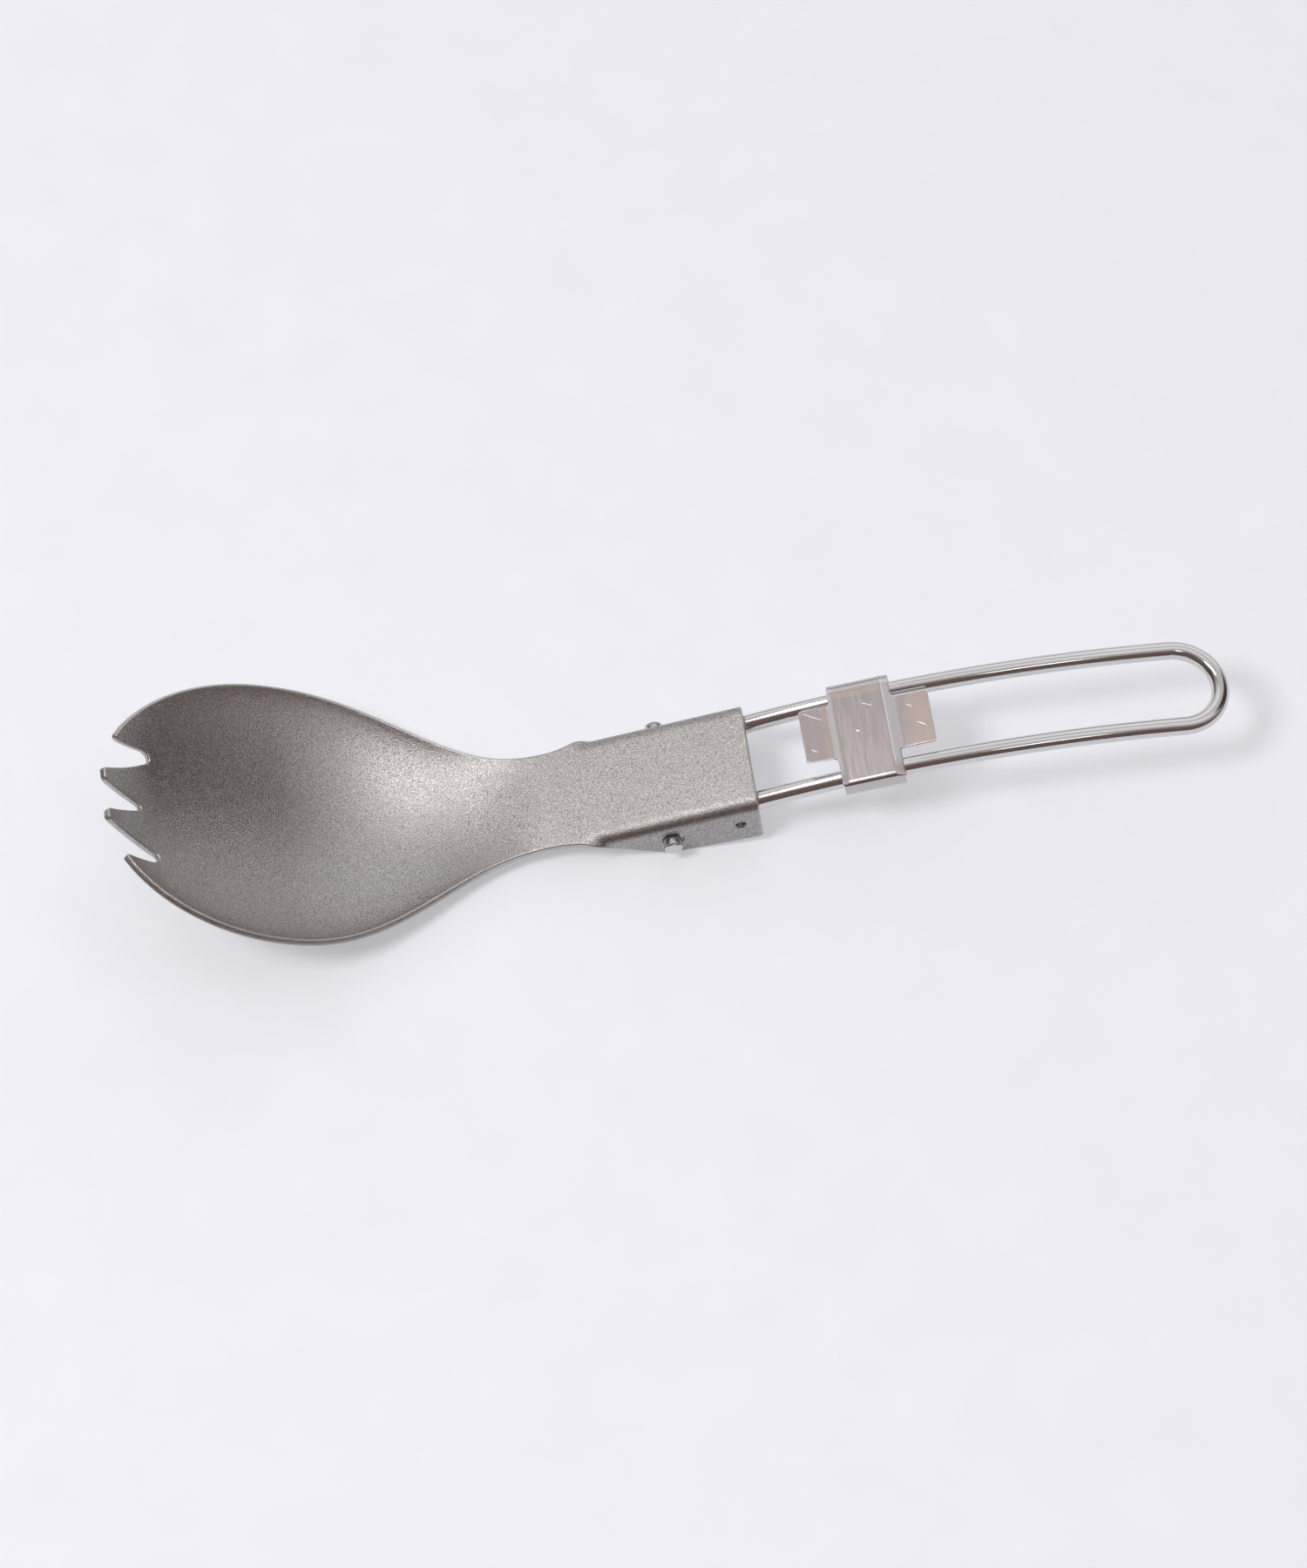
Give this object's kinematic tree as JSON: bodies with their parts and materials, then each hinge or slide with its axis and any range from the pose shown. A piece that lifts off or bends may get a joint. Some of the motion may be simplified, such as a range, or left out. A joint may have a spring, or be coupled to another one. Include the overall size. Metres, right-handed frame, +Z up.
{
  "type": "folding spork",
  "caption": "Folding camping spork: a stamped titanium bowl with tines, a bent wire handle that folds under the bowl, and a sheet lock that slides along the handle.",
  "frame": {"origin": "on the table under the middle of the open spork, on its centre line", "axes": "+X along the spork towards the handle's loop, +Y to the left of it, +Z up from the table"},
  "size_m": [0.1611, 0.0428, 0.0217],
  "materials": {
    "blasted_titanium": "fine sandblasted titanium, matte warm grey",
    "polished_wire": "polished stainless steel wire with fine drawing lines",
    "lock_sheet": "satin stainless steel sheet with light scratches"
  },
  "bodies": {
    "head": {"spork_head": "blasted_titanium"},
    "handle": {"wire_handle": "polished_wire"},
    "lock": {"slide_lock": "lock_sheet"}
  },
  "joints": [
    {"name": "handle_fold", "type": "hinge", "parent": "head", "child": "handle", "pos_m": [-0.00133, 0, 0.00365], "axis": [0, 1, 0], "range_deg": [0, 185.5]},
    {"name": "lock_slide", "type": "hinge", "parent": "handle", "child": "lock", "pos_m": [0.05937, 0, -0.16262], "axis": [0, 1, 0], "range_deg": [-3.6, 12.9]}
  ]
}
